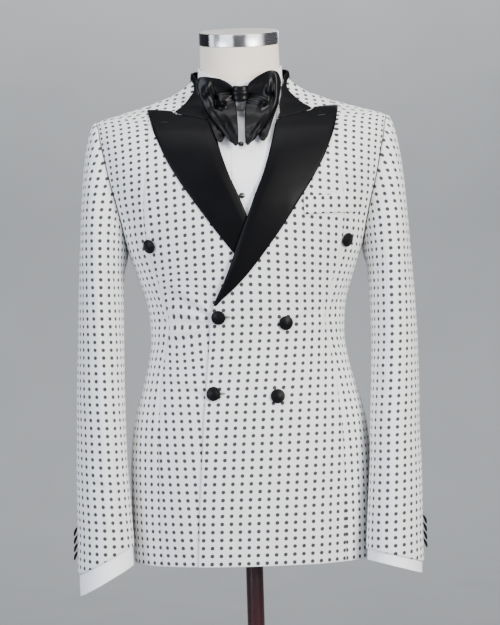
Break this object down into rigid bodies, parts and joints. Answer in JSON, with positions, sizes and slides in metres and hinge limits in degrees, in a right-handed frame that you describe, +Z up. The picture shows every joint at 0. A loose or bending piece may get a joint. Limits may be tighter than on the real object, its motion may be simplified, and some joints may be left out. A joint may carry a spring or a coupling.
{
  "type": "tuxedo on a dress form",
  "caption": "Tuxedo top on a limbless dress form: double-breasted dotted jacket with satin peak lapels, dress shirt with studs and a drooping satin bow tie, on a pole and round base.",
  "frame": {"origin": "middle of the round base's underside, on the floor", "axes": "+Z up along the pole, -Y the front of the garment, +X the wearer's left"},
  "size_m": [0.5233, 0.36, 1.5646],
  "materials": {
    "dotted_cloth": "woven suiting with small dark dots",
    "black_satin": "satin",
    "bow_satin": "soft satin",
    "covered_button": "satin over a domed mould",
    "shirt_cotton": "plain cotton",
    "stud_enamel": "glossy black",
    "form_canvas": "close knitted cover",
    "cap_chrome": "polished",
    "stand_lacquer": "dark gloss lacquer"
  },
  "bodies": {
    "root": {"back_left": "dotted_cloth", "back_right": "dotted_cloth", "base": "stand_lacquer", "bow_knot": "bow_satin", "bow_loop_left": "bow_satin", "bow_loop_right": "bow_satin", "bow_tail_left": "bow_satin", "bow_tail_right": "bow_satin", "breast_welt": "dotted_cloth", "button_fastened_lower": "covered_button", "button_fastened_upper": "covered_button", "button_outer_lower": "covered_button", "button_outer_upper": "covered_button", "button_top_left": "covered_button", "button_top_right": "covered_button", "cap_band": "cap_chrome", "cap_top": "form_canvas", "collar": "black_satin", "cuff_button_left_1": "covered_button", "cuff_button_left_2": "covered_button", "cuff_button_left_3": "covered_button", "cuff_button_left_4": "covered_button", "cuff_button_right_1": "covered_button", "cuff_button_right_2": "covered_button", "cuff_button_right_3": "covered_button", "cuff_button_right_4": "covered_button", "form_body": "form_canvas", "front_left": "dotted_cloth", "front_right": "dotted_cloth", "lapel_left": "black_satin", "lapel_right": "black_satin", "pole": "stand_lacquer", "shirt_back_left": "shirt_cotton", "shirt_back_right": "shirt_cotton", "shirt_collar": "shirt_cotton", "shirt_cuff_left": "shirt_cotton", "shirt_cuff_right": "shirt_cotton", "shirt_front_left": "shirt_cotton", "shirt_front_right": "shirt_cotton", "shirt_placket": "shirt_cotton", "shirt_sleeve_left": "shirt_cotton", "shirt_sleeve_right": "shirt_cotton", "side_front_left": "dotted_cloth", "side_front_right": "dotted_cloth", "sleeve_under_left": "dotted_cloth", "sleeve_under_right": "dotted_cloth", "sleeve_upper_left": "dotted_cloth", "sleeve_upper_right": "dotted_cloth", "stud_1": "stud_enamel", "stud_2": "stud_enamel"}
  },
  "joints": []
}
